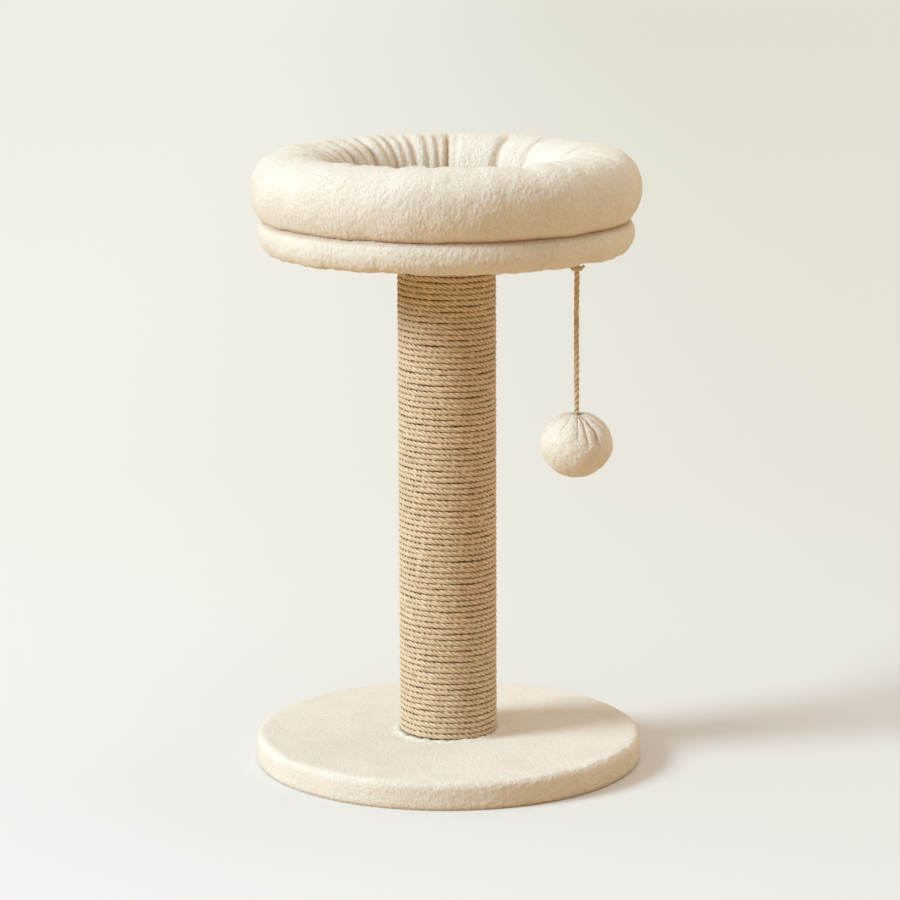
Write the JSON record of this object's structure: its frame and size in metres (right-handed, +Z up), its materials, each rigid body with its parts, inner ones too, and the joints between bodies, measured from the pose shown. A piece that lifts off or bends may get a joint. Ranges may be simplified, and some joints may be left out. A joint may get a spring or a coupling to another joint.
{
  "type": "cat scratching post",
  "caption": "Round plush-covered base, post wound with sisal rope, padded round bed with a lift-off bolster nest and loose cushion, and a plush ball hung on a cord.",
  "frame": {"origin": "on the floor, on the axis of the post, at the middle of the base's underside", "axes": "+Z up along the post; -Y is the front; the ball hangs to the right and front of the post, between +X and -Y"},
  "size_m": [0.4, 0.4, 0.635],
  "materials": {
    "plush": "cream short-pile plush",
    "quilted_cloth": "cream quilted cloth",
    "filling": "polyester fibre",
    "foam": "open-cell foam",
    "sisal": "three-strand sisal rope",
    "board": "raw chipboard",
    "paper": "spiral-wound kraft paper",
    "steel": "zinc-plated steel",
    "hook_loop": "woven hook-and-loop tape",
    "thread": "polyester sewing thread"
  },
  "bodies": {
    "stand": {"base_board": "board", "base_cover": "plush", "base_staples": "steel", "post_bolts": "steel", "post_washers": "steel", "tee_nuts": "steel", "post_plugs": "board", "plug_staples": "steel", "post_tube": "paper", "rope_winding": "sisal", "rope_end_staples": "steel", "bed_board": "board", "bed_padding": "foam", "bed_cover": "plush", "bed_staples": "steel", "cord_anchor": "sisal", "hook_patches": "hook_loop"},
    "nest": {"loop_patches": "hook_loop", "nest_floor": "quilted_cloth", "bolster_cover": "plush", "bolster_filling": "filling"},
    "cushion": {"cushion_cover": "plush", "cushion_filling": "filling"},
    "hanger": {"toy_knot": "sisal"},
    "cord": {"toy_cord": "sisal"},
    "ball": {"ball_cover": "plush", "ball_filling": "filling", "ball_knot": "sisal", "gathering_thread": "thread"}
  },
  "joints": [
    {"name": "nest_lift", "type": "slide", "parent": "stand", "child": "nest", "axis": [0, 0, 1], "range_m": [0, 0.12]},
    {"name": "cushion_lift", "type": "slide", "parent": "nest", "child": "cushion", "axis": [0, 0, 1], "range_m": [0, 0.09]},
    {"name": "swing_to_post", "type": "hinge", "parent": "stand", "child": "hanger", "pos_m": [0.12881, -0.11002, 0.5309], "axis": [0.6494, 0.7604, 0], "range_deg": [-60, 27]},
    {"name": "swing_sideways", "type": "hinge", "parent": "hanger", "child": "cord", "pos_m": [0.12881, -0.11002, 0.5309], "axis": [0.7604, -0.6494, 0], "range_deg": [-60, 60]},
    {"name": "ball_twist", "type": "hinge", "parent": "cord", "child": "ball", "pos_m": [0.12881, -0.11002, 0.353], "axis": [0, 0, 1], "range_deg": [-180, 180]}
  ]
}
